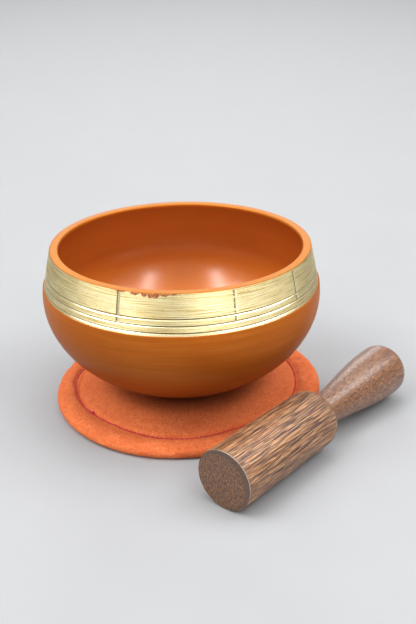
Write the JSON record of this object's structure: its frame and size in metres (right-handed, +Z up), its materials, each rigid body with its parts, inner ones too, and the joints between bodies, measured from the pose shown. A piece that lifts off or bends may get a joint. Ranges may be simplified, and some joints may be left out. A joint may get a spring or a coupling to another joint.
{
  "type": "singing bowl",
  "caption": "Round metal singing bowl with a bare grooved band below the rim, standing on a round stitched felt mat, with a turned wooden mallet beside it.",
  "frame": {"origin": "centre of the mat's underside, on the table", "axes": "+Z up, -Y towards the front, +X to the right; the mallet lies at the front right"},
  "size_m": [0.1573, 0.1593, 0.073],
  "materials": {
    "bowl": "orange lacquer over cast brass, with a bare lathe-turned band below the rim",
    "mat_bottom_cover": "orange felt",
    "mat_filling": "undyed wadding",
    "mat_top_cover": "orange felt with a short nap",
    "mat_stitching": "crimson sewing thread",
    "mallet": "dark open-pored hardwood, sanded and waxed"
  },
  "bodies": {
    "mat": {"mat_bottom_cover": "mat_bottom_cover", "mat_filling": "mat_filling", "mat_top_cover": "mat_top_cover", "mat_stitching": "mat_stitching"},
    "bowl": {"bowl": "bowl"},
    "mallet": {"mallet": "mallet"}
  },
  "joints": [
    {"name": "bowl_lift", "type": "slide", "parent": "mat", "child": "bowl", "axis": [0, 0, 1], "range_m": [0, 0.12]},
    {"name": "mallet_pickup", "type": "slide", "parent": "mat", "child": "mallet", "axis": [0.5255, -0.4732, 0.7071], "range_m": [0, 0.12]}
  ]
}
